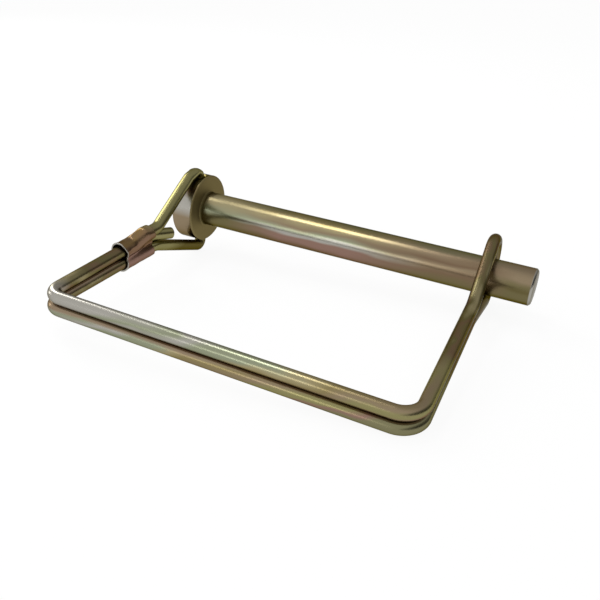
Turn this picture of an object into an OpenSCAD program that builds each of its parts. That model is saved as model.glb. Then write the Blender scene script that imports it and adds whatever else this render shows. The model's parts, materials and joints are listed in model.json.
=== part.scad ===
// Snapper pin: headed shaft with a hinged square wire bail.
// Frame, mm: origin on the shaft axis at the head's seating face, +X to the
// tip, bail towards -Y, +Z up, lying as it comes to rest.

/* [Shaft] */
// Diameter of the plain shaft
shaft_d = 9.525; // [6.35:0.005:9.6]
// Length from the head's seating face to the tip
shaft_len = 94.7; // [90:0.1:110]
// Chamfer at the tip
tip_chamfer = 0.5; // [0.2:0.1:1.5]
// Radius of the fillet between head and shaft
root_r = 0.4; // [0.2:0.1:1.2]

/* [Head] */
// Diameter of the head
head_d = 19.05; // [18:0.05:19.2]
// Thickness of the head
head_t = 6.35; // [5.6:0.05:7.5]
// Chamfer round both rims of the head
head_chamfer = 0.3; // [0.2:0.1:0.8]
// Seating face to the axis of the cross hole
hole_from_face = 3.15; // [3:0.05:3.3]
// Radial play of the wire in the cross hole
hole_play = 0.35; // [0.2:0.05:0.5]
// Countersink at both mouths of the cross hole
hole_sink = 0.6; // [0.3:0.05:0.7]

/* [Wire] */
// Diameter of the spring wire
wire_d = 3.175; // [2.6:0.005:3.3]
// Gap between the two runs of wire that lie side by side
run_gap = 0.1; // [0.06:0.02:0.3]
// Shaft axis to the front bar of the bail
bail_reach = 64.6; // [60:0.2:75]
// Head face to the front right corner of the bail
bail_right = 86; // [84:0.2:90]
// Inside radius of the bail's corners below the loop
corner_r = 3.3; // [2.5:0.1:5]
// Inside radius of the bail's corners below the ferrule
corner_l = 2.4; // [1.5:0.1:4]
// Head face to the loop that closes over the shaft
loop_x = 82.6; // [78:0.2:84]
// Shaft axis up to the top of the loop, to the middle of the wire
loop_up = 8.65; // [8.2:0.05:9.5]
// Shaft axis down to the bottom of the loop, to the middle of the wire
loop_down = 8.4; // [8.1:0.05:9.5]
// Shaft axis to the far end of the loop, to the middle of the wire
loop_far = 9; // [9:0.1:11]
// Length of the stub that stands out of the ferrule
stub_len = 7.4; // [4:0.1:8]

/* [Ferrule] */
// Length of the ferrule along the wires
ferrule_len = 12.3; // [10:0.1:16]
// Shaft axis to the end of the ferrule nearest the head
ferrule_at = 26.3; // [24:0.1:28]
// Thickness of the sheet
sheet_t = 0.55; // [0.4:0.05:0.7]

/* [Hidden] */
$fn = 72;
wr = wire_d / 2;
head_r = head_d / 2;
half = wr + run_gap / 2;
hole_r = wr + hole_play;
// the bail's own frame: its mid plane holds the shaft axis, and the part
// rests turned by this much about the shaft axis
rest_roll = 5.2;
arm_x = -2.2;
left_x = -3.3;
twist_l = 0.55;
twist_r = -0.6;
fer_z = -0.6;
over_x = 0.6;
loop_side = 1.4;
sag = 0.15;
end_y = -ferrule_at;
bend_r = corner_r + wr;
bend_l = corner_l + wr;
leg_r = 1.7;
lap = 0.1;
bend_more = 0.01;
fer_play = 0.03;
mouth_play = 0.3;
mouth_l = 2;
lobe_l = 5.2;
tail_short = 0.7;
up_z = 11.45;
low_z = 12.8;

function unit(v) = v / norm(v);
function mil(v) = round(v * 1000) / 1000;

// a chain of corners turned into [length, bend angle, bend radius, roll]
function turns(p, r, i, d, e, used) =
  i == len(p) - 2
  ? [[mil(norm(p[i + 1] - p[i]) - used), 0, 0, 0]]
  : let (
      d1 = unit(p[i + 2] - p[i + 1]),
      c = d * d1,
      a = acos(c),
      n = unit(d1 - c * d),
      t = r[i + 1] * tan(a / 2)
    )
    concat(
      [[
        mil(norm(p[i + 1] - p[i]) - used - t),
        mil(a),
        r[i + 1],
        mil(atan2(cross(d, e) * n, e * n))
      ]],
      turns(p, r, i + 1, d1, n * c - d * sin(a), t)
    );

// walks the steps from the origin along +Z; a bend is a hair thicker than the
// straight runs, which reach a little into it
module walk(steps, i = 0) {
  run = steps[i];
  back = i == 0 ? 0 : lap;
  ahead = i == len(steps) - 1 ? 0 : lap;
  translate([0, 0, -back])
    cylinder(h = run[0] + back + ahead, r = wr);
  if (i < len(steps) - 1)
    translate([0, 0, run[0]])
      rotate([0, 0, run[3]])
        translate([run[2], 0, 0]) {
          rotate([90, 0, 180])
            rotate_extrude(angle = run[1])
              translate([run[2], 0])
                circle(r = wr + bend_more);
          rotate([0, run[1], 0])
            translate([-run[2], 0, 0])
              walk(steps, i + 1);
        }
}

// the ferrule's end nearest the head, and its axis along the wires
fer_o = [arm_x, end_y, fer_z];
fer_u = unit([left_x, -bail_reach, twist_l] - fer_o);
top_off = [1.9, 0, half + 2.56];
press_off = [0.35, 0, half + 0.55];
function beside(a, z) = fer_o + a * fer_u + [0, 0, z];

// from the middle of the head down, round the bail twice and to the stub
down_path = [
  [[-hole_from_face, 0, 0], 0],
  [[-hole_from_face, 0, -low_z], leg_r],
  [beside(-2, -half), 10],
  [[left_x, -bail_reach, twist_l - half], bend_l],
  [[bail_right, -bail_reach, twist_r - half - sag], bend_r],
  [[loop_x + loop_side, -21, -half], 10],
  [[loop_x, 2, -loop_down], 6],
  [[loop_x - 0.5, loop_far, -loop_down], 6],
  [[loop_x - 0.5, loop_far, loop_up], 7],
  [[loop_x, 0.5, loop_up], 6],
  [[loop_x + loop_side, -19, half], 10],
  [[bail_right, -bail_reach, twist_r + half], bend_r],
  [[left_x + over_x, -bail_reach, twist_l + half], bend_l],
  [beside(ferrule_len + 1.5, half), 40],
  [beside(-1.4, half), 8],
  [beside(-stub_len, half) + [1.8, 0, -1.2], 0]
];
// from the middle of the head up and back to its end in the ferrule
up_path = [
  [[-hole_from_face, 0, 0], 0],
  [[-hole_from_face, 0, up_z], leg_r],
  [[-hole_from_face + 0.15, -5.4, up_z - 1.05], 8],
  [beside(-1.2, 0) + top_off, 6],
  [beside(lobe_l - tail_short, 0) + top_off, 0]
];

module wire(path, d, e) {
  p = [for (q = path) q[0]];
  r = [for (q = path) q[1]];
  f = cross(d, e);
  multmatrix([
    [e[0], f[0], d[0], p[0][0]],
    [e[1], f[1], d[1], p[0][1]],
    [e[2], f[2], d[2], p[0][2]],
    [0, 0, 0, 1]
  ])
    walk(turns(p, r, 0, d, e, 0));
}

module bail_wire() {
  color("#8a7f52")
    rotate([rest_roll, 0, 0]) {
      wire(down_path, [0, 0, -1], [0, -1, 0]);
      wire(up_path, [0, 0, 1], [0, -1, 0]);
    }
}

module pin() {
  color("#7d744c")
    rotate([rest_roll, 0, 0])
      difference() {
        rotate([0, 90, 0])
          rotate_extrude() {
            translate([0, -head_t])
              polygon([
                [0, 0],
                [head_r - head_chamfer, 0],
                [head_r, head_chamfer],
                [head_r, head_t - head_chamfer],
                [head_r - head_chamfer, head_t],
                [0, head_t]
              ]);
            polygon([
              [0, -1],
              [shaft_d / 2, -1],
              [shaft_d / 2, shaft_len - tip_chamfer],
              [shaft_d / 2 - tip_chamfer, shaft_len],
              [0, shaft_len]
            ]);
            difference() {
              translate([shaft_d / 2 - 0.1, -0.1])
                square([root_r + 0.1, root_r + 0.1]);
              translate([shaft_d / 2 + root_r, root_r])
                circle(r = root_r);
            }
          }
        translate([-hole_from_face, 0, -head_r - 1])
          cylinder(h = head_d + 2, r = hole_r);
        for (s = [0, 180])
          rotate([s, 0, 0])
            translate([-hole_from_face, 0, head_r - hole_sink])
              cylinder(h = 2 * hole_sink, r1 = hole_r, r2 = hole_r + 2 * hole_sink);
      }
}

// three circles round the wires, with the sheet drawn in between them
module fer_section(top, more, web) {
  for (p = [[0, -half], [0, half], [top[0], top[2]]])
    translate(p)
      circle(r = wr + more);
  translate([-web, -half])
    square([2 * web, 2 * half]);
  polygon([
    [-web, half],
    [web, half],
    [top[0] + web, top[2]],
    [top[0] - web, top[2]]
  ]);
}

// holds the upper leg's end near the head, and is pressed down on the upper
// run beyond it
module ferrule() {
  x = unit([1, 0, 0] - fer_u[0] * fer_u);
  y = cross(fer_u, x);
  color("#9a6a4e")
    rotate([rest_roll, 0, 0])
      multmatrix([
        [x[0], y[0], fer_u[0], fer_o[0]],
        [x[1], y[1], fer_u[1], fer_o[1]],
        [x[2], y[2], fer_u[2], fer_o[2]],
        [0, 0, 0, 1]
      ])
        difference() {
          union() {
            linear_extrude(height = lobe_l)
              fer_section(top_off, fer_play + sheet_t, 1.85);
            linear_extrude(height = ferrule_len)
              fer_section(press_off, fer_play + sheet_t, 1.85);
          }
          translate([0, 0, -1])
            linear_extrude(height = lobe_l + 1 - sheet_t)
              fer_section(top_off, fer_play, 1.2);
          translate([0, 0, -1])
            linear_extrude(height = ferrule_len + 2)
              fer_section(press_off, fer_play, 1.2);
          translate([0, 0, ferrule_len - mouth_l])
            linear_extrude(height = mouth_l + 1)
              fer_section(press_off, fer_play + mouth_play, 1.4);
        }
}

pin();
bail_wire();
ferrule();
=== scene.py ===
import json
import math

import bmesh
import bpy
from mathutils import Matrix, Vector, noise


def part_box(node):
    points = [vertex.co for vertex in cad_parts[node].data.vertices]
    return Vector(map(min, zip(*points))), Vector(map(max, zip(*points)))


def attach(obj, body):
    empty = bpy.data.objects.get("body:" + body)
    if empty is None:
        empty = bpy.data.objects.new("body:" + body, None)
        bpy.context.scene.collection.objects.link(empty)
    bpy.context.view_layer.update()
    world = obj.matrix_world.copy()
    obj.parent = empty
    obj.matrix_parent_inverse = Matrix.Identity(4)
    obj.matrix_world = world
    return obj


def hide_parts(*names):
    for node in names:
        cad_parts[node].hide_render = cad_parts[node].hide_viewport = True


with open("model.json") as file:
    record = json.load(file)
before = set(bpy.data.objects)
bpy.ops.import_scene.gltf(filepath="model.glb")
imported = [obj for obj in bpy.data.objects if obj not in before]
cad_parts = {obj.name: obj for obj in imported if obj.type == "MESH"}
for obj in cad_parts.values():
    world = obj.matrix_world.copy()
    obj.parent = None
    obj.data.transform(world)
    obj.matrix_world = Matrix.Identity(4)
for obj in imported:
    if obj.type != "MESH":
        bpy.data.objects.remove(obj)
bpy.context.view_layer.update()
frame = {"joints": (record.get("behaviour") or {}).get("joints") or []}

bl_info = {
    "name": "Snapper pin",
    "version": (1, 0, 0),
    "blender": (4, 5, 0),
    "location": "3D View > Sidebar > Snapper pin",
    "description": "A headed pin with a hinged square bail of doubled wire",
    "category": "Object",
}

MM = 0.001
X_WAY, Y_WAY, Z_WAY = Vector((1, 0, 0)), Vector((0, 1, 0)), Vector((0, 0, 1))
WHITE, BLACK = (1, 1, 1, 1), (0, 0, 0, 1)
# places of a colour mix node's two colours and its result
MIX_LOW, MIX_HIGH, MIX_OUT = 6, 7, 2

# The part lies turned about the shaft's axis, as it rests: the bail's own
# plane holds that axis and is square to the hinge.
HINGE = frame["joints"][0]
HINGE_X = HINGE["pos_m"][0]
REST_TURN = math.atan2(HINGE["axis"][1], -HINGE["axis"][2])
AT_REST = Matrix.Rotation(REST_TURN, 3, "X")
# the head's back and the shaft's tip
BACK_X, TIP_X = (corner.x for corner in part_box("pin"))

# how finely the shapes are drawn
WIRE_SIDES = 28
WIRE_STEP = 4 * MM  # about the length of one stretch of a straight run
BEND_STEP_DEG = 5
TURN_STEPS = 128  # round the shaft and the head
SHAFT_STEPS = 12  # along the shaft
FILLET_STEPS = 6
DRILL_SIDES = 48
FERRULE_SIDES, FERRULE_ROWS = 96, 28
EDGE_STEPS = 3  # across a rounded edge
MERGE = 1e-7  # points closer than this are one

# Places as the bail's own plane has them: x from the head's seating face
# towards the tip, z up from the plane. The bail's are midway between its runs.
LEFT_X, LEFT_Z = -3.3 * MM, 0.55 * MM  # front left corner
RIGHT_Z = -0.6 * MM  # front right corner: the bail is slightly twisted
SAG = 0.15 * MM  # how much lower still the lower run lies there
FERRULE_X, FERRULE_Z = -2.2 * MM, -0.6 * MM  # the ferrule's end at the head
LEG_OVER, LEG_RISE = 1.9 * MM, 2.56 * MM  # upper leg beside, above the upper run
LEG_UP, LEG_DOWN = 11.45 * MM, 12.8 * MM  # shaft's axis to the legs' hard bends
LEG_BEND = 1.7 * MM
CUT_ROUNDING = 0.3 * MM  # on the rims of the wire's two cut ends

# The tool flattens the upper leg's hard bend from this side, as far round the
# corner as the zone. Shares of the flat's depth: how far below the flat the
# metal begins to give, and how high a crown is left on it.
PRESS_WAY = Vector((0, 0.35, 0.94)).normalized()
PRESS_ZONE, PRESS_EASE, PRESS_CROWN = 5 * MM, 0.6, 0.3

# How the ferrule's sheet lies. Angles go round its section, from the bail's
# inner side upwards; shares of its length count from the end at the head.
SHEET_PLAY = 0.06 * MM  # between sheet and wire
SHEET_BRIDGE = 0.3 * MM  # how softly the sheet crosses from wire to wire
HEAD_TRIM = 0.4 * MM  # taken off all round at the end at the head
MOUTH_FLARE, FLARE_FROM = 0.16 * MM, 0.75  # how far the mouth opens, from where
MOUTH_TURN = -0.45  # the direction in which it stands open
CRIMP_TURN, CRIMP_WIDE = -0.75, 0.3  # the crimp, between the two runs
CRIMP_AT, CRIMP_LONG = 0.3, 0.3  # and where along the ferrule
RAGGED = 0.1 * MM  # unevenness left by the hand tool


def size(name, text, default_mm):
    """A length property whose default is given in millimetres."""
    return bpy.props.FloatProperty(
        name=name,
        description=text,
        default=default_mm * MM,
        min=0.0,
        precision=5,
        unit="LENGTH",
    )


def linear(code):
    """Linear RGBA of an sRGB hex colour."""
    out = []
    for i in (1, 3, 5):
        c = int(code[i : i + 2], 16) / 255
        out.append(c / 12.92 if c <= 0.04045 else ((c + 0.055) / 1.055) ** 2.4)
    return (*out, 1.0)


def colour(name, text, code):
    """A colour property whose default is an sRGB hex value."""
    return bpy.props.FloatVectorProperty(
        name=name,
        description=text,
        default=linear(code),
        subtype="COLOR",
        size=4,
        min=0.0,
        max=1.0,
    )


# ------------------------------------------------------------------ settings


class PinSizes(bpy.types.PropertyGroup):
    """Sizes of the headed pin"""

    shaft_d: size("Shaft diameter", "Diameter of the plain shaft", 9.525)
    head_d: size("Head diameter", "Diameter of the disc head", 19.05)
    head_chamfer: size("Head chamfer", "Chamfer round the head's rims", 0.3)
    tip_chamfer: size("Tip chamfer", "Chamfer round the tip", 0.5)
    root_r: size("Root fillet", "Fillet between head and shaft", 0.4)
    edge_r: size("Edge rounding", "Rounding left on the turned edges", 0.12)
    hole_d: size("Cross hole", "Diameter of the hole through the head", 3.875)
    hole_sink: size("Countersink", "Countersink at the mouths of the hole", 0.6)


class WireSizes(bpy.types.PropertyGroup):
    """Sizes of the wire and of the bail bent from it"""

    wire_d: size("Wire diameter", "Diameter of the spring wire", 3.175)
    run_gap: size("Gap", "Gap between the two runs that lie together", 0.1)
    reach: size("Reach", "Shaft axis to the front bar", 64.6)
    right: size("Right corner", "Head face to the front right corner", 86.0)
    corner_r: size("Right corners", "Inside radius of the corners below the loop", 3.3)
    corner_l: size("Left corners", "Inside radius of those below the ferrule", 2.4)
    loop_x: size("Loop", "Head face to the loop over the shaft", 82.6)
    loop_up: size("Loop top", "Shaft axis up to the middle of the wire", 8.65)
    loop_down: size("Loop bottom", "Shaft axis down to the middle of the wire", 8.4)
    loop_far: size("Loop depth", "Shaft axis to the loop's far end", 9.0)
    stub: size("Stub", "Length of the cut end beyond the ferrule", 7.4)
    press: size("Pressed bend", "How far the upper leg's bend is flattened", 0.8)


class FerruleSizes(bpy.types.PropertyGroup):
    """Sizes of the crimped ferrule"""

    length: size("Length", "Length of the ferrule along the wires", 12.3)
    start: size("Start", "Shaft axis to the end nearest the head", 26.3)
    sheet: size("Sheet", "Thickness of the sheet", 0.45)
    lobe: size("Lobe", "How far in the sheet holds the upper leg's end", 5.2)
    slant: size("Slant", "How far the upper lobe is cut back at the head end", 1.4)
    dent: size("Dent", "Depth of the crimp between the runs", 0.35)
    mouth: size("Mouth", "How far the mouth is cut back on its open side", 0.9)


class PlatingColours(bpy.types.PropertyGroup):
    """Tones of the zinc plating's yellow film, and the painted shade and painted
    highlight tones laid over it
    """

    gold: colour("Gold", "Main tone of the yellow passivation", "#9b906e")
    brass: colour("Brass", "Its darker gold patches", "#877a54")
    sage: colour("Sage", "Its dull grey-green patches", "#7b7759")
    olive: colour("Olive", "Its thicker, greener patches", "#6d6545")
    # painted shade: the darkest green, laid low down and in corners where shade falls
    shade_moss: colour("Moss", "Its darkest green, low down and in corners", "#625938")
    rose: colour("Rose", "Its pink patches", "#896d61")
    mint: colour("Mint", "Its pale green patches", "#8d9179")
    leek: colour("Leek", "Its yellow-green patches", "#89835a")
    tan: colour("Tan", "Its plain patches", "#8a7a62")
    brown: colour("Brown", "Its dull brown patches", "#74604b")
    # silver also paints the sheen streak on the shaft and the light band round the
    # head's rim
    silver: colour("Silver", "Places where the film is thin", "#a3a098")
    # painted shade: dark brown in the crimp's crease
    crimp_shade_umber: colour("Umber", "Dark brown left in the crimp", "#4a3622")
    # painted shade: the red-brown of the shaded groove between the two runs
    groove_shade: colour("Blush", "Red-brown left between the two runs", "#8d7b66")
    copper: colour("Copper", "Redder tone of the ferrule's sheet", "#7e6450")
    # painted highlight: orange along the ferrule's ridge
    ridge_highlight: colour("Amber", "Orange tone along the ferrule's ridge", "#7d6642")
    edge: colour("Edge tint", "Tint of reflections at a grazing angle", "#a8a498")


class StageSettings(bpy.types.PropertyGroup):
    """Look of the floor"""

    floor: colour("Floor", "Colour of the floor", "#ffffff")
    glow: bpy.props.FloatProperty(
        name="Glow",
        description="Share of plain white in the floor, which softens the shadow",
        default=0.92,
        min=0.0,
        max=1.0,
        subtype="FACTOR",
    )


GROUPS = {
    "snapper_pin": PinSizes,
    "snapper_wire": WireSizes,
    "snapper_ferrule": FerruleSizes,
    "snapper_plating": PlatingColours,
    "snapper_stage": StageSettings,
}

# --------------------------------------------------------------- the bail's path


def ferrule_place(scene):
    """The ferrule's end at the head, its direction, and the upper leg's offset."""
    w, f = scene.snapper_wire, scene.snapper_ferrule
    half = (w.wire_d + w.run_gap) / 2
    start = Vector((FERRULE_X, -f.start, FERRULE_Z))
    onward = (Vector((LEFT_X, -w.reach, LEFT_Z)) - start).normalized()
    top = Vector((LEG_OVER, 0, half + LEG_RISE))
    return start, onward, top


def bail_paths(scene):
    """The wire's corners and bend radii, in the bail's own plane, in metres.

    The first path leaves the middle of the head downwards and goes round the
    bail twice to the stub; the second leaves it upwards and ends in the ferrule.
    """
    w, f = scene.snapper_wire, scene.snapper_ferrule
    half = (w.wire_d + w.run_gap) / 2
    up = Vector((0, 0, half))
    bend_r = w.corner_r + w.wire_d / 2
    bend_l = w.corner_l + w.wire_d / 2
    hole = Vector((HINGE_X, 0, 0))
    left = Vector((LEFT_X, -w.reach, LEFT_Z))
    right = Vector((w.right, -w.reach, RIGHT_Z))
    # where the right arm parts for the loop, and the loop's far side
    arm_x = w.loop_x + 1.4 * MM
    far_x = w.loop_x - 0.5 * MM
    start, onward, top = ferrule_place(scene)
    down_path = [
        # the lower leg
        (hole, 0),
        (hole - Vector((0, 0, LEG_DOWN)), LEG_BEND),
        (start - onward * 2 * MM - up, 10 * MM),
        # the lower run, to the front and along it
        (left - up, bend_l),
        (right - up - Vector((0, 0, SAG)), bend_r),
        # up the right arm, under the shaft, behind it and back over it
        (Vector((arm_x, -21 * MM, -half)), 10 * MM),
        (Vector((w.loop_x, 2 * MM, -w.loop_down)), 6 * MM),
        (Vector((far_x, w.loop_far, -w.loop_down)), 6 * MM),
        (Vector((far_x, w.loop_far, w.loop_up)), 7 * MM),
        (Vector((w.loop_x, 0.5 * MM, w.loop_up)), 6 * MM),
        (Vector((arm_x, -19 * MM, half)), 10 * MM),
        # the upper run, back along the front
        (right + up, bend_r),
        (left + up + Vector((0.6 * MM, 0, 0)), bend_l),
        # through the ferrule, and the stub that stands out of it
        (start + onward * (f.length + 1.5 * MM) + up, 40 * MM),
        (start - onward * 1.4 * MM + up, 8 * MM),
        (start - onward * w.stub + up + Vector((1.8, 0, -1.2)) * MM, 0),
    ]
    up_path = [
        # the upper leg, over the head's rim and into the ferrule
        (hole, 0),
        (hole + Vector((0, 0, LEG_UP)), LEG_BEND),
        (hole + Vector((0.15, -5.4, 10.4)) * MM, 8 * MM),
        (start - onward * 1.2 * MM + top, 6 * MM),
        (start + onward * (f.lobe - 0.7 * MM) + top, 0),
    ]
    return down_path, up_path


# ------------------------------------------------------------------- geometry


def new_piece(name, bm, sharp_deg=35):
    """Turns a finished bmesh into an object at the origin.

    Edges with a greater angle than sharp_deg stay sharp to the light.
    """
    bm.normal_update()
    mesh = bpy.data.meshes.new(name)
    bm.to_mesh(mesh)
    bm.free()
    for p in mesh.polygons:
        p.use_smooth = True
    mesh.set_sharp_from_angle(angle=math.radians(sharp_deg))
    obj = bpy.data.objects.new(name, mesh)
    bpy.context.scene.collection.objects.link(obj)
    return obj


def turn_to_rest(bm):
    """Turns a shape from the bail's own plane to where the part lies at rest."""
    bmesh.ops.rotate(bm, verts=bm.verts, cent=(0, 0, 0), matrix=AT_REST)


def round_edges(bm, edges, radius):
    """Rounds edges a little."""
    bmesh.ops.bevel(
        bm,
        geom=edges,
        offset=radius,
        offset_type="OFFSET",
        affect="EDGES",
        segments=EDGE_STEPS,
        profile=0.5,
        material=-1,
        clamp_overlap=True,
    )


def verts_of(geom):
    """The vertices among what a bmesh operator gives back."""
    return [g for g in geom if isinstance(g, bmesh.types.BMVert)]


def ring_edges(ring):
    """The edges that join a ring's vertices."""
    chosen = set(ring)
    edges = dict.fromkeys(e for v in ring for e in v.link_edges)
    return [e for e in edges if e.verts[0] in chosen and e.verts[1] in chosen]


def extrude_ring(bm, ring):
    """Extrudes a ring and returns the new one, which is still in the same place."""
    return verts_of(bmesh.ops.extrude_edge_only(bm, edges=ring_edges(ring))["geom"])


def bend_wire(bm, path, radius):
    """Draws a wire along a path of (corner, bend radius) pairs.

    Its ring is extruded along the straights and spun round the bends. Each
    vertex keeps its place in the wire as it was before bending, so that
    streaks can follow the wire. Returns the first and the last ring.
    """
    unbent = bm.verts.layers.float_vector.get("unbent")
    place = path[0][0]
    way = (path[1][0] - place).normalized()
    turn = way.to_track_quat("Z", "Y").to_matrix().to_4x4()
    ring = bmesh.ops.create_circle(
        bm,
        cap_ends=False,
        segments=WIRE_SIDES,
        radius=radius,
        matrix=Matrix.Translation(place) @ turn,
    )["verts"]
    for v in ring:
        v[unbent] = turn.to_3x3().inverted() @ (v.co - place)
    first = list(ring)
    drawn = 0.0
    for i in range(1, len(path)):
        corner, bend = path[i]
        ahead = (path[i + 1][0] - corner).normalized() if i + 1 < len(path) else None
        angle = way.angle(ahead) if ahead else 0.0
        stop = corner - way * (bend * math.tan(angle / 2))
        count = max(1, round((stop - place).length / WIRE_STEP))
        for _ in range(count):
            ring = extrude_ring(bm, ring)
            bmesh.ops.translate(bm, verts=ring, vec=(stop - place) / count)
            drawn += (stop - place).length / count
            for v in ring:
                v[unbent].z = drawn
        place = stop
        if ahead:
            axis = way.cross(ahead).normalized()
            inward = axis.cross(way).normalized()
            centre = place + inward * bend
            before = set(bm.verts)
            made = bmesh.ops.spin(
                bm,
                geom=ring + ring_edges(ring),
                cent=centre,
                axis=axis,
                dvec=(0, 0, 0),
                angle=angle,
                steps=max(3, math.ceil(math.degrees(angle) / BEND_STEP_DEG)),
                use_merge=False,
                use_duplicate=False,
            )
            for v in bm.verts:
                if v not in before:
                    arm = v.co - centre
                    swept = math.atan2(arm.dot(way), -arm.dot(inward))
                    v[unbent].z = drawn + bend * swept
            ring = verts_of(made["geom_last"])
            drawn += bend * angle
            place = corner + ahead * (bend * math.tan(angle / 2))
            way = ahead
    return first, ring


def press_bend(bm, corner, depth):
    """Flattens the outer side of a hard bend, as the bending tool leaves it."""
    near = [v for v in bm.verts if (v.co - corner).length < PRESS_ZONE]
    flat = max((v.co - corner).dot(PRESS_WAY) for v in near) - depth
    for v in near:
        height = ((v.co - corner).dot(PRESS_WAY) - flat) / depth
        if height > -PRESS_EASE:
            t = (height + PRESS_EASE) / (1 + PRESS_EASE)
            pressed = PRESS_CROWN * t * t + PRESS_EASE * t - PRESS_EASE
            v.co -= PRESS_WAY * ((height - pressed) * depth)


def close_end(bm, ring):
    """Closes a cut end of wire and rounds its rim a little."""
    rim = ring_edges(ring)
    bmesh.ops.contextual_create(bm, geom=rim)
    round_edges(bm, rim, CUT_ROUNDING)


def turned_profile(bm, points):
    """Spins a profile of (x, radius) points a full turn about the shaft's axis."""
    verts = [bm.verts.new((x, 0, r)) for x, r in points]
    edges = [bm.edges.new(pair) for pair in zip(verts, verts[1:])]
    bmesh.ops.spin(
        bm,
        geom=verts + edges,
        cent=(0, 0, 0),
        axis=X_WAY,
        dvec=(0, 0, 0),
        angle=math.tau,
        steps=TURN_STEPS,
        use_merge=True,
        use_duplicate=False,
    )
    bmesh.ops.remove_doubles(bm, verts=bm.verts, dist=MERGE)
    bmesh.ops.recalc_face_normals(bm, faces=bm.faces)


def cut(target, cutter):
    """Cuts one object out of another for good and removes the cutter."""
    mod = target.modifiers.new("cut", "BOOLEAN")
    mod.operation = "DIFFERENCE"
    mod.solver = "EXACT"
    mod.object = cutter
    depsgraph = bpy.context.evaluated_depsgraph_get()
    mesh = bpy.data.meshes.new_from_object(target.evaluated_get(depsgraph))
    target.modifiers.clear()
    old = target.data
    target.data = mesh
    bpy.data.meshes.remove(old)
    bpy.data.objects.remove(cutter)


def section_reach(angle, circles, radius):
    """How far the sheet lies from the section's middle in one direction.

    The sheet is drawn tight over the wires, so it dips only a little between them.
    """
    way = Vector((math.cos(angle), math.sin(angle)))

    def depth(r):
        gaps = ((way * r - c).length - radius for c in circles)
        return -SHEET_BRIDGE * math.log(sum(math.exp(-g / SHEET_BRIDGE) for g in gaps))

    # the sheet is less than 20 mm out, and halving that 30 times is close enough
    low, high = 0.0, 20 * MM
    for _ in range(30):
        mid = (low + high) / 2
        if depth(mid) > 0:
            high = mid
        else:
            low = mid
    return low


def bell(value, middle, width):
    """1 at a middle, falling off softly to nothing on both sides of it."""
    return math.exp(-(((value - middle) / width) ** 2))


# ------------------------------------------------------------------ materials

# Widths of the fine lines that turning, drawing and rolling leave. The real
# ones are a few hundredths of a millimetre; these are coarser, so they show.
DRAWN_LINE_MM, ROLLED_LINE_MM, LINE_DETAIL = 0.45, 0.4, 3
LINE_STRENGTH, LINE_DEPTH = 0.05, 0.02 * MM
# what a line takes from and adds to the roughness, and what a dull place adds
LINE_SMOOTHER, LINE_ROUGHER, DULL_ROUGHER = 0.05, 0.09, 0.35


def add_node(tree, kind, inputs=(), stops=(), **settings):
    """Adds a shader node. Inputs are (name or index, output socket or value)."""
    node = tree.nodes.new(kind)
    for key, value in settings.items():
        setattr(node, key, value)
    for place, value in inputs:
        if isinstance(value, bpy.types.NodeSocket):
            tree.links.new(value, node.inputs[place])
        else:
            node.inputs[place].default_value = value
    for i, (place, tone) in enumerate(stops):
        elements = node.color_ramp.elements
        element = elements[i] if i < 2 else elements.new(1.0)
        element.position = place
        element.color = tone
    return node


def lay_over(tree, tone, *layers):
    """Lays tones over a tone, each as far as its own amount, from 0 to 1, goes."""
    for amount, upper in layers:
        tone = add_node(
            tree,
            "ShaderNodeMix",
            inputs=[(0, amount), (MIX_LOW, tone), (MIX_HIGH, upper)],
            data_type="RGBA",
        ).outputs[MIX_OUT]
    return tone


def new_film(name):
    """An empty material with the piece's own coordinates, for a zinc film."""
    mat = bpy.data.materials.new(name)
    mat.use_nodes = True
    tree = mat.node_tree
    tree.nodes.clear()
    return mat, tree, add_node(tree, "ShaderNodeTexCoord").outputs["Object"]


def clouds(tree, place, across_mm, squeeze, detail=2.0):
    """Soft noise with blotches so many millimetres across.

    A squeeze below 1 on an axis draws them out that way.
    """
    scaled = add_node(
        tree, "ShaderNodeMapping", inputs=[("Vector", place), ("Scale", squeeze)]
    )
    noise_node = add_node(
        tree,
        "ShaderNodeTexNoise",
        inputs=[
            ("Vector", scaled.outputs[0]),
            ("Scale", 1 / (across_mm * MM)),
            ("Detail", detail),
            ("Roughness", 0.5),
        ],
    )
    return noise_node.outputs["Fac"]


def along(tree, place, way, low, high, wobble=None, amount=0.0):
    """0 to 1 along a direction, from low to high, wobbled by some noise."""
    reach = add_node(
        tree,
        "ShaderNodeVectorMath",
        inputs=[(0, place), (1, way)],
        operation="DOT_PRODUCT",
    ).outputs["Value"]
    share = add_node(
        tree,
        "ShaderNodeMapRange",
        inputs=[("Value", reach), ("From Min", low), ("From Max", high)],
        clamp=wobble is None,
    ).outputs[0]
    if wobble is None:
        return share
    moved = add_node(
        tree,
        "ShaderNodeMath",
        inputs=[(0, wobble), (1, amount), (2, share)],
        operation="MULTIPLY_ADD",
    )
    centred = add_node(
        tree,
        "ShaderNodeMath",
        inputs=[(0, moved.outputs[0]), (1, amount / 2)],
        operation="SUBTRACT",
        use_clamp=True,
    )
    return centred.outputs[0]


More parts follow.
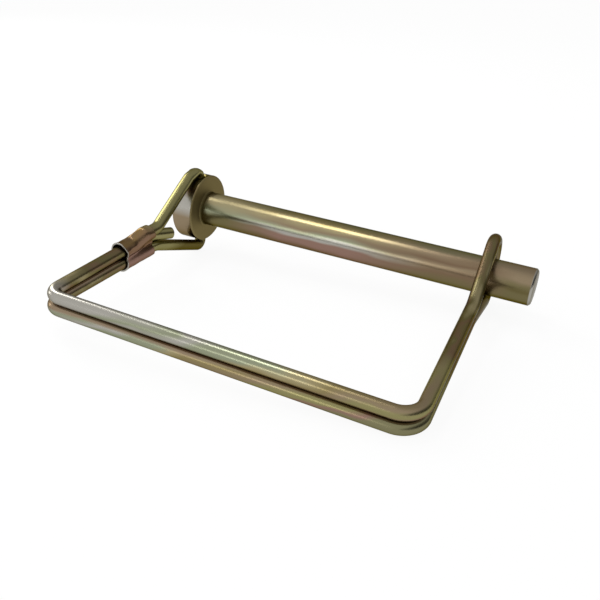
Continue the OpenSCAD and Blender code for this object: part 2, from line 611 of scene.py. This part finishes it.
def plate(tree, tone, lines, edge_tint, rough, dull=0.0):
    """Bright zinc-plated steel with a yellow passivation film.

    The film is a fraction of a micron thick and varies, which gives the eye
    soft bands of olive, gold, rose and pale green over a satin metal; the tone
    passed in also carries painted highlights and painted shade. Fine lines
    from drawing or turning show in the gloss, and dull places have less.
    """
    roughness = add_node(
        tree,
        "ShaderNodeMapRange",
        inputs=[
            ("Value", lines),
            ("To Min", rough - LINE_SMOOTHER),
            ("To Max", rough + LINE_ROUGHER),
        ],
    )
    if dull:
        roughness = add_node(
            tree,
            "ShaderNodeMath",
            inputs=[(0, dull), (1, DULL_ROUGHER), (2, roughness.outputs[0])],
            operation="MULTIPLY_ADD",
        )
    bump = add_node(
        tree,
        "ShaderNodeBump",
        inputs=[
            ("Height", lines),
            ("Strength", LINE_STRENGTH),
            ("Distance", LINE_DEPTH),
        ],
    )
    surface = add_node(
        tree,
        "ShaderNodeBsdfPrincipled",
        inputs=[
            ("Base Color", tone),
            ("Roughness", roughness.outputs[0]),
            ("Normal", bump.outputs[0]),
            ("Metallic", 1.0),
            ("Specular Tint", edge_tint),
        ],
    )
    add_node(
        tree, "ShaderNodeOutputMaterial", inputs=[("Surface", surface.outputs[0])]
    )


def pin_film(c, shaft_r, head_r):
    """Yellow zinc on the turned pin.

    Bands of rose, silver and gold run along the shaft, laid by height across
    it: the film's tones with painted reflections in them, a painted silver sheen
    below the middle and painted shade along both edges. It is greener at the
    head and browner to the tip. The head's seating face is dull.
    """
    mat, tree, place = new_film("yellow_zinc_plated_shaft")
    # the film's patches are 4.5 mm across and five times as long
    blotches = clouds(tree, place, 4.5, (0.2, 1, 1))
    lines = clouds(tree, place, DRAWN_LINE_MM, (0.03, 1, 1), LINE_DETAIL)
    # from the shaft's lower front to its upper back; the tones laid by this height
    # paint reflections and shade onto the film
    up = Vector((0, 0.34, 0.94))
    height = along(tree, place, up, -shaft_r, shaft_r, blotches, 0.5)
    bands = add_node(
        tree,
        "ShaderNodeValToRGB",
        inputs=[("Fac", height)],
        stops=[
            (0.02, c.brown),
            (0.14, c.rose),
            (0.28, c.rose),
            (0.36, c.silver),
            (0.44, c.silver),
            (0.54, c.mint),
            (0.66, c.tan),
            (0.76, c.gold),
            (0.88, c.brass),
            (0.96, c.sage),
        ],
    ).outputs[0]
    plain = add_node(
        tree,
        "ShaderNodeValToRGB",
        inputs=[("Fac", height)],
        stops=[
            (0.05, c.olive),
            (0.25, c.brown),
            (0.48, c.tan),
            (0.62, c.brown),
            (0.80, c.tan),
            (0.95, c.sage),
        ],
    ).outputs[0]
    green = add_node(
        tree,
        "ShaderNodeValToRGB",
        inputs=[("Fac", height)],
        stops=[(0.05, c.olive), (0.30, c.olive), (0.50, c.mint), (0.75, c.gold)],
    ).outputs[0]
    # shade_moss at the bottom and in the middle of the tip's bands is painted shade
    tip = add_node(
        tree,
        "ShaderNodeValToRGB",
        inputs=[("Fac", height)],
        stops=[
            (0.05, c.shade_moss),
            (0.17, c.olive),
            (0.27, c.olive),
            (0.34, c.shade_moss),
            (0.46, c.olive),
            (0.60, c.tan),
            (0.90, c.tan),
        ],
    ).outputs[0]
    near_head = along(tree, place, X_WAY, 26 * MM, 9 * MM, blotches, 0.6)
    past_middle = along(tree, place, X_WAY, 46 * MM, 68 * MM, blotches, 0.8)
    near_tip = along(tree, place, X_WAY, 82 * MM, 90 * MM, blotches, 0.5)
    on_tip_chamfer = along(tree, place, X_WAY, 94.05 * MM, 94.25 * MM)
    # painted shade in the corner at the shaft's root
    root_shade = along(tree, place, X_WAY, 1.8 * MM, 0.3 * MM)
    tone = lay_over(
        tree,
        bands,
        (near_head, green),
        (past_middle, plain),
        (near_tip, tip),
        (on_tip_chamfer, c.silver),
        (root_shade, c.shade_moss),
    )
    # round the head's rim by height: painted light in silver across the middle, painted
    # shade in brown and olive at the top, under the wire
    rim = add_node(
        tree,
        "ShaderNodeValToRGB",
        inputs=[("Fac", along(tree, place, up, -head_r, head_r, blotches, 0.2))],
        stops=[
            (0.12, c.tan),
            (0.28, c.tan),
            (0.42, c.silver),
            (0.58, c.silver),
            (0.72, c.brown),
            (0.84, c.olive),
        ],
    ).outputs[0]
    past_rim = along(tree, place, X_WAY, -0.4 * MM, -0.3 * MM)
    on_head = along(tree, place, X_WAY, 0.1 * MM, 0.05 * MM)
    head = lay_over(tree, rim, (past_rim, c.brass))
    tone = lay_over(tree, tone, (on_head, head))
    # the seating face, between the head's rim and the shaft
    off_shaft = along(tree, place, X_WAY, 0.8 * MM, 0.3 * MM)
    on_face = add_node(
        tree,
        "ShaderNodeMath",
        inputs=[(0, past_rim), (1, off_shaft)],
        operation="MULTIPLY",
    )
    plate(tree, tone, lines, c.edge, 0.22, on_face.outputs[0])
    return mat


def wire_film(c, bail_normal):
    """Yellow zinc on drawn wire.

    The front bar is silvery at one end and turns gold, yellow-green and rose
    towards the other; the arms are olive and brown. Painted shade darkens the
    groove between the runs and the wire that lies low under the bail's plane.
    """
    mat, tree, place = new_film("yellow_zinc_plated_wire")
    unbent = add_node(
        tree, "ShaderNodeAttribute", attribute_name="unbent"
    ).outputs["Vector"]
    # the film's patches are 4 mm across and three times as long
    blotches = clouds(tree, unbent, 4, (1, 1, 0.3))
    lines = clouds(tree, unbent, DRAWN_LINE_MM, (1, 1, 0.03), LINE_DETAIL)
    # the lower run's tones come earlier along the bar than the upper run's, by
    # 7 mm for each millimetre it lies lower
    drift = X_WAY - 7 * bail_normal
    bar = add_node(
        tree,
        "ShaderNodeValToRGB",
        inputs=[("Fac", along(tree, place, drift, -8 * MM, 92 * MM, blotches, 0.34))],
        stops=[
            (0.04, c.silver),
            (0.14, c.mint),
            (0.22, c.silver),
            (0.30, c.mint),
            (0.44, c.mint),
            (0.52, c.gold),
            (0.62, c.brass),
            (0.72, c.tan),
            (0.78, c.leek),
            (0.87, c.leek),
            (0.92, c.rose),
            (0.98, c.sage),
        ],
    ).outputs[0]
    arms = add_node(
        tree,
        "ShaderNodeValToRGB",
        inputs=[("Fac", blotches)],
        stops=[(0.34, c.olive), (0.46, c.brown), (0.55, c.olive), (0.68, c.gold)],
    ).outputs[0]
    # the right corner's green reaches further up its arm than the left one's
    on_bar = along(tree, place, (0.18, -1, 0), 58 * MM, 64 * MM, blotches, 0.4)
    # painted shade on the wire more than 4.5 mm below the bail's plane, the lower leg
    # and the loop's bottom, in shade_moss
    below = along(tree, place, -bail_normal, 4.5 * MM, 7.5 * MM)
    near_head = along(tree, place, (-0.6, 1, 0), -31 * MM, -27 * MM)
    # painted shade in the groove between the runs, red-brown, from the arms' middle
    # to the front: full up to 0.4 mm from the bail's plane and gone at 0.9 mm
    off_plane = add_node(
        tree,
        "ShaderNodeMath",
        inputs=[
            (0, along(tree, place, bail_normal, -1.6 * MM, 1.6 * MM, blotches, 0.3)),
            (1, 0.5),
        ],
        operation="SUBTRACT",
    )
    beside = add_node(
        tree,
        "ShaderNodeMath",
        inputs=[(0, off_plane.outputs[0])],
        operation="ABSOLUTE",
    )
    groove = add_node(
        tree,
        "ShaderNodeMapRange",
        inputs=[
            ("Value", beside.outputs[0]),
            ("From Min", 0.28),
            ("From Max", 0.12),
            ("To Max", along(tree, place, -Y_WAY, 34 * MM, 40 * MM)),
        ],
    )
    tone = lay_over(
        tree,
        arms,
        (on_bar, bar),
        (near_head, c.leek),
        (below, c.shade_moss),
        (groove.outputs[0], c.groove_shade),
    )
    plate(tree, tone, lines, c.edge, 0.25)
    return mat


def sheet_film(c):
    """Yellow zinc on thin rolled sheet.

    It is coppery, with a painted orange highlight along the ridge and gold on
    the lobe at the head; the crimp has painted shade and the cut edge is bright.
    """
    mat, tree, place = new_film("yellow_zinc_plated_sheet")
    # x goes round the section, from -1 to 1, and y along the sheet, from 0 to 1
    wrap = add_node(
        tree, "ShaderNodeAttribute", attribute_name="wrap"
    ).outputs["Vector"]
    # the film's patches are 3 mm across and twice as long
    blotches = clouds(tree, place, 3, (1, 0.5, 1))
    lines = clouds(tree, place, ROLLED_LINE_MM, (1, 0.1, 1), LINE_DETAIL)
    # round the section; ridge_highlight is a painted highlight along the ridge
    around = add_node(
        tree,
        "ShaderNodeValToRGB",
        inputs=[("Fac", along(tree, wrap, X_WAY, -1, 1, blotches, 0.12))],
        stops=[
            (0.15, c.brown),
            (0.30, c.rose),
            (0.46, c.rose),
            (0.52, c.copper),
            (0.62, c.copper),
            (0.70, c.ridge_highlight),
            (0.78, c.brown),
            (0.95, c.olive),
        ],
    ).outputs[0]
    # painted shade: a narrow dark line along the crimp's crease, near the end at the
    # head
    crease = add_node(
        tree,
        "ShaderNodeValToRGB",
        inputs=[("Fac", along(tree, wrap, X_WAY, -1, 1, blotches, 0.04))],
        stops=[(0.33, BLACK), (0.37, WHITE), (0.42, BLACK)],
    ).outputs[0]
    crimp_shade = add_node(
        tree,
        "ShaderNodeMath",
        inputs=[(0, crease), (1, along(tree, wrap, Y_WAY, 0.62, 0.2))],
        operation="MULTIPLY",
    ).outputs[0]
    on_lobe = add_node(
        tree,
        "ShaderNodeMath",
        inputs=[
            (0, along(tree, wrap, X_WAY, 0.2, 0.45)),
            (1, along(tree, wrap, Y_WAY, 0.3, 0.02)),
        ],
        operation="MULTIPLY",
    ).outputs[0]
    on_cut_edge = along(tree, wrap, Y_WAY, 0.98, 0.995)
    tone = lay_over(
        tree,
        around,
        (crimp_shade, c.crimp_shade_umber),
        (on_lobe, c.gold),
        (on_cut_edge, c.silver),
    )
    plate(tree, tone, lines, c.edge, 0.3)
    return mat


def dress(obj, mat, node, body):
    """Gives a piece its material, and its CAD node's place on a body."""
    obj.data.materials.clear()
    obj.data.materials.append(mat)
    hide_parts(node)
    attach(obj, body)


# ------------------------------------------------------------------ operators


class OBJECT_OT_snapper_headed_pin(bpy.types.Operator):
    """Turn the shaft with its disc head and drill the cross hole for the wire"""

    bl_idname = "object.snapper_headed_pin"
    bl_label = "Headed pin"

    def execute(self, context):
        s, c = context.scene.snapper_pin, context.scene.snapper_plating
        r, head = s.shaft_d / 2, s.head_d / 2
        bm = bmesh.new()
        turned_profile(bm, self.outline(s, r, head))
        corner_angle = math.radians(30)
        corners = [e for e in bm.edges if e.calc_face_angle(0.0) > corner_angle]
        round_edges(bm, corners, s.edge_r)
        pin = new_piece("headed_pin", bm)
        cut(pin, self.drill(s, head))
        dress(pin, pin_film(c, r, head), "pin", "pin")
        return {"FINISHED"}

    def outline(self, s, r, head):
        """Half the pin's outline, as (x, radius), from the head's back to the tip."""
        steps = range(FILLET_STEPS + 1)
        turns = [math.radians(90 - 90 * k / FILLET_STEPS) for k in steps]
        # a narrow ring beside each rounding keeps the flats flat to the light
        beside = 0.25 * MM
        return [
            (BACK_X, 0),
            (BACK_X, head - s.head_chamfer - beside),
            (BACK_X, head - s.head_chamfer),
            (BACK_X + s.head_chamfer, head),
            (BACK_X + s.head_chamfer + beside, head),
            (-s.head_chamfer - beside, head),
            (-s.head_chamfer, head),
            (0, head - s.head_chamfer),
            (0, head - s.head_chamfer - beside),
            (0, r + s.root_r + beside),
            *(
                (
                    s.root_r - s.root_r * math.sin(a),
                    r + s.root_r - s.root_r * math.cos(a),
                )
                for a in turns
            ),
            *((TIP_X * k / SHAFT_STEPS, r) for k in range(1, SHAFT_STEPS)),
            (TIP_X - s.tip_chamfer, r),
            (TIP_X, r - s.tip_chamfer),
            (TIP_X, 0),
        ]

    def drill(self, s, head):
        """The cross hole as a solid, with a countersink at both ends."""
        bm = bmesh.new()
        bore, sink = s.hole_d / 2, s.hole_sink
        steps = [
            (-head - sink, bore + 2 * sink),
            (-head + sink, bore),
            (head - sink, bore),
            (head + sink, bore + 2 * sink),
        ]
        for low, high in zip(steps, steps[1:]):
            bmesh.ops.create_cone(
                bm,
                cap_ends=False,
                segments=DRILL_SIDES,
                radius1=low[1],
                radius2=high[1],
                depth=high[0] - low[0],
                matrix=Matrix.Translation((HINGE_X, 0, (low[0] + high[0]) / 2)),
            )
        bmesh.ops.remove_doubles(bm, verts=bm.verts, dist=MERGE)
        ends = [e for e in bm.edges if len(e.link_faces) == 1]
        bmesh.ops.holes_fill(bm, edges=ends, sides=0)
        bmesh.ops.recalc_face_normals(bm, faces=bm.faces)
        turn_to_rest(bm)
        return new_piece("drill", bm)


class OBJECT_OT_snapper_bail_wire(bpy.types.Operator):
    """Bend the one length of spring wire twice round the bail"""

    bl_idname = "object.snapper_bail_wire"
    bl_label = "Bail wire"

    def execute(self, context):
        s, c = context.scene.snapper_wire, context.scene.snapper_plating
        bm = bmesh.new()
        bm.verts.layers.float_vector.new("unbent")
        down_path, up_path = bail_paths(context.scene)
        first, stub = bend_wire(bm, down_path, s.wire_d / 2)
        second, tail = bend_wire(bm, up_path, s.wire_d / 2)
        # the two paths meet in the middle of the head
        bmesh.ops.remove_doubles(bm, verts=first + second, dist=10 * MERGE)
        press_bend(bm, up_path[1][0], s.press)
        for ring in (stub, tail):
            close_end(bm, ring)
        bmesh.ops.recalc_face_normals(bm, faces=bm.faces)
        turn_to_rest(bm)
        wire = new_piece("spring_wire_bail", bm, 40)
        dress(wire, wire_film(c, AT_REST @ Z_WAY), "bail_wire", "bail")
        return {"FINISHED"}


class OBJECT_OT_snapper_ferrule(bpy.types.Operator):
    """Wrap the sheet ferrule tightly round the three wires"""

    bl_idname = "object.snapper_ferrule"
    bl_label = "Crimped ferrule"

    def execute(self, context):
        scene = context.scene
        w, s, c = scene.snapper_wire, scene.snapper_ferrule, scene.snapper_plating
        start, onward, top = ferrule_place(scene)
        half = (w.wire_d + w.run_gap) / 2
        across = (X_WAY - onward * onward.x).normalized()
        lift = onward.cross(across)
        # the sheet's reach is measured from here, inside the section
        middle = Vector((0.5 * MM, half * 0.7))
        outer = w.wire_d / 2 + s.sheet + SHEET_PLAY
        # where the lobe over the upper leg ends up, pressed down on the upper run
        pressed = Vector((-0.05 * MM, half + 0.35 * MM))
        lobe_end = s.lobe / s.length
        bm = bmesh.new()
        wrap = bm.verts.layers.float_vector.new("wrap")
        ring = bmesh.ops.create_circle(
            bm, cap_ends=False, segments=FERRULE_SIDES, radius=outer
        )["verts"]
        angles = [math.atan2(v.co.y, v.co.x) for v in ring]
        for row in range(FERRULE_ROWS + 1):
            t = row / FERRULE_ROWS
            if row:
                ring = extrude_ring(bm, ring)
                angles = [v[wrap].x * math.pi for v in ring]
            # how far that lobe has come down, from half way along it to beyond it
            fall = min(1.0, max(0.0, (t - 0.5 * lobe_end) / lobe_end))
            fall = fall * fall * (3 - 2 * fall)
            flare = MOUTH_FLARE * max(0.0, (t - FLARE_FROM) / (1 - FLARE_FROM)) ** 2
            circles = [
                Vector((0, -half)) - middle,
                Vector((0, half)) - middle,
                Vector((top.x, top.z)).lerp(pressed, fall) - middle,
            ]
            for v, angle in zip(ring, angles):
                reach = section_reach(angle, circles, outer + flare)
                crimp = bell(angle, CRIMP_TURN, CRIMP_WIDE)
                reach -= s.dent * crimp * bell(t, CRIMP_AT, CRIMP_LONG)
                # bumps about 1 mm wide and 2.5 mm long
                reach += RAGGED * noise.noise(Vector((3 * angle, 5 * t, 1.7)))
                p = middle + Vector((math.cos(angle), math.sin(angle))) * reach
                # the end at the head slants over the three wires' height
                rim = (1 - t) * (s.slant * (p.y + half) / (3 * half) + HEAD_TRIM)
                rim -= s.mouth * t**4 * max(0.0, math.cos(angle - MOUTH_TURN))
                v.co = start + onward * (s.length * t + rim) + across * p.x + lift * p.y
                v[wrap] = Vector((angle / math.pi, t, 0))
        bmesh.ops.recalc_face_normals(bm, faces=bm.faces)
        turn_to_rest(bm)
        ferrule = new_piece("crimped_ferrule", bm, 60)
        wall = ferrule.modifiers.new("sheet", "SOLIDIFY")
        wall.thickness = s.sheet
        wall.offset = -1
        edge = ferrule.modifiers.new("edge", "BEVEL")
        edge.width = 0.1 * MM
        edge.segments = 2
        edge.limit_method = "ANGLE"
        edge.angle_limit = math.radians(60)
        dress(ferrule, sheet_film(c), "ferrule", "bail")
        return {"FINISHED"}


class OBJECT_OT_snapper_stage(bpy.types.Operator):
    """Set the pale floor, the soft lights and the camera"""

    bl_idname = "object.snapper_stage"
    bl_label = "Floor, lights and camera"

    def execute(self, context):
        scene = context.scene
        self.lay_floor(scene)
        self.light(scene)
        camera = bpy.data.cameras.new("camera")
        camera.lens = 44.942
        camera.sensor_width = 36
        camera.shift_x = 0.01969
        camera.shift_y = 0.02143
        camera.clip_start = 0.01
        camera.clip_end = 20
        eye = bpy.data.objects.new("camera", camera)
        eye.location = (0.110652, -0.18026, 0.072899)
        eye.rotation_euler = [math.radians(a) for a in (63.3198, -4.2302, 26.632)]
        scene.collection.objects.link(eye)
        scene.camera = eye
        scene.view_settings.view_transform = "Standard"
        return {"FINISHED"}

    def lay_floor(self, scene):
        """White paper, which is matt and even, with a glow that keeps it white.

        It touches the front right corner, the loop and the lower leg's bend.
        """
        half_width_m, tilt_deg, level = 3, -2.6, -13.48 * MM
        bm = bmesh.new()
        bmesh.ops.create_grid(bm, x_segments=1, y_segments=1, size=half_width_m)
        bmesh.ops.rotate(
            bm,
            verts=bm.verts,
            cent=(0, 0, 0),
            matrix=Matrix.Rotation(math.radians(tilt_deg), 3, "Y"),
        )
        bmesh.ops.translate(bm, verts=bm.verts, vec=(0, 0, level))
        floor = new_piece("floor", bm)
        mat = bpy.data.materials.new("white_paper")
        mat.use_nodes = True
        tree = mat.node_tree
        tree.nodes.clear()
        paper = add_node(
            tree,
            "ShaderNodeBsdfDiffuse",
            inputs=[("Color", scene.snapper_stage.floor)],
        )
        glow = add_node(
            tree,
            "ShaderNodeEmission",
            inputs=[("Color", WHITE), ("Strength", 1.0)],
        )
        # only what is seen, also in metal and through glass, glows
        path = add_node(tree, "ShaderNodeLightPath")
        seen = 0.0
        for ray in ("Is Camera Ray", "Is Glossy Ray", "Is Transmission Ray"):
            seen = add_node(
                tree,
                "ShaderNodeMath",
                inputs=[(0, path.outputs[ray]), (1, seen)],
                operation="ADD",
                use_clamp=True,
            ).outputs[0]
        share = add_node(
            tree,
            "ShaderNodeMath",
            inputs=[(0, seen), (1, scene.snapper_stage.glow)],
            operation="MULTIPLY",
        )
        mixed = add_node(
            tree,
            "ShaderNodeMixShader",
            inputs=[(0, share.outputs[0]), (1, paper.outputs[0]), (2, glow.outputs[0])],
        )
        add_node(
            tree, "ShaderNodeOutputMaterial", inputs=[("Surface", mixed.outputs[0])]
        )
        floor.data.materials.append(mat)

    def light(self, scene):
        """A white room, grey behind the part and dark low beyond its tip, and lamps.

        A lamp's level is the brightness of its face, whatever the face's size.
        """
        grey, dark = (0.6, 0.6, 0.6, 1), (0.12, 0.12, 0.12, 1)
        world = bpy.data.worlds.new("studio")
        scene.world = world
        world.use_nodes = True
        tree = world.node_tree
        tree.nodes.clear()
        way = add_node(tree, "ShaderNodeTexCoord").outputs["Generated"]
        room = lay_over(
            tree,
            WHITE,
            (along(tree, way, (0, 1, 0.2), -0.3, 0.6), grey),
            (along(tree, way, (1, 0, -0.6), 0.25, 0.6), dark),
        )
        back = add_node(
            tree, "ShaderNodeBackground", inputs=[("Color", room), ("Strength", 1.0)]
        )
        add_node(tree, "ShaderNodeOutputWorld", inputs=[("Surface", back.outputs[0])])
        middle = Vector((0.045, -0.03, 0))
        for name, place, (wide, high), level in (
            ("key", (-0.16, -0.01, 0.55), (0.19, 0.11), 7.0),
            ("fill", (-0.21, -0.76, 0.12), (0.18, 0.2), 2.2),
            ("window", (-0.62, 0.24, 0.4), (0.2, 0.5), 8.0),
            ("side", (-0.7, -0.08, 0.12), (0.15, 0.2), 4.0),
        ):
            data = bpy.data.lights.new(name, "AREA")
            data.shape = "RECTANGLE"
            data.size, data.size_y = wide, high
            data.energy = level * math.pi * wide * high
            lamp = bpy.data.objects.new(name, data)
            lamp.location = place
            aim = middle - Vector(place)
            lamp.rotation_euler = aim.to_track_quat("-Z", "Y").to_euler()
            lamp.visible_camera = False
            scene.collection.objects.link(lamp)


class VIEW3D_PT_snapper_pin(bpy.types.Panel):
    """Lists the sizes and colours, and a button for each piece"""

    bl_label = "Snapper pin"
    bl_space_type = "VIEW_3D"
    bl_region_type = "UI"
    bl_category = "Snapper pin"

    def draw(self, context):
        for key in GROUPS:
            group = getattr(context.scene, key)
            box = self.layout.box()
            for prop in group.bl_rna.properties.keys():
                if prop not in ("rna_type", "name"):
                    box.prop(group, prop)
        for operator in OPERATORS:
            self.layout.operator(operator.bl_idname)


OPERATORS = (
    OBJECT_OT_snapper_headed_pin,
    OBJECT_OT_snapper_bail_wire,
    OBJECT_OT_snapper_ferrule,
    OBJECT_OT_snapper_stage,
)


def register():
    for cls in (*GROUPS.values(), *OPERATORS, VIEW3D_PT_snapper_pin):
        bpy.utils.register_class(cls)
    for key, cls in GROUPS.items():
        setattr(bpy.types.Scene, key, bpy.props.PointerProperty(type=cls))


def unregister():
    for key in GROUPS:
        delattr(bpy.types.Scene, key)
    for cls in (VIEW3D_PT_snapper_pin, *reversed(OPERATORS), *GROUPS.values()):
        bpy.utils.unregister_class(cls)


def main():
    register()
    bpy.ops.object.snapper_headed_pin()
    bpy.ops.object.snapper_bail_wire()
    bpy.ops.object.snapper_ferrule()
    bpy.ops.object.snapper_stage()


if __name__ == "__main__":
    main()
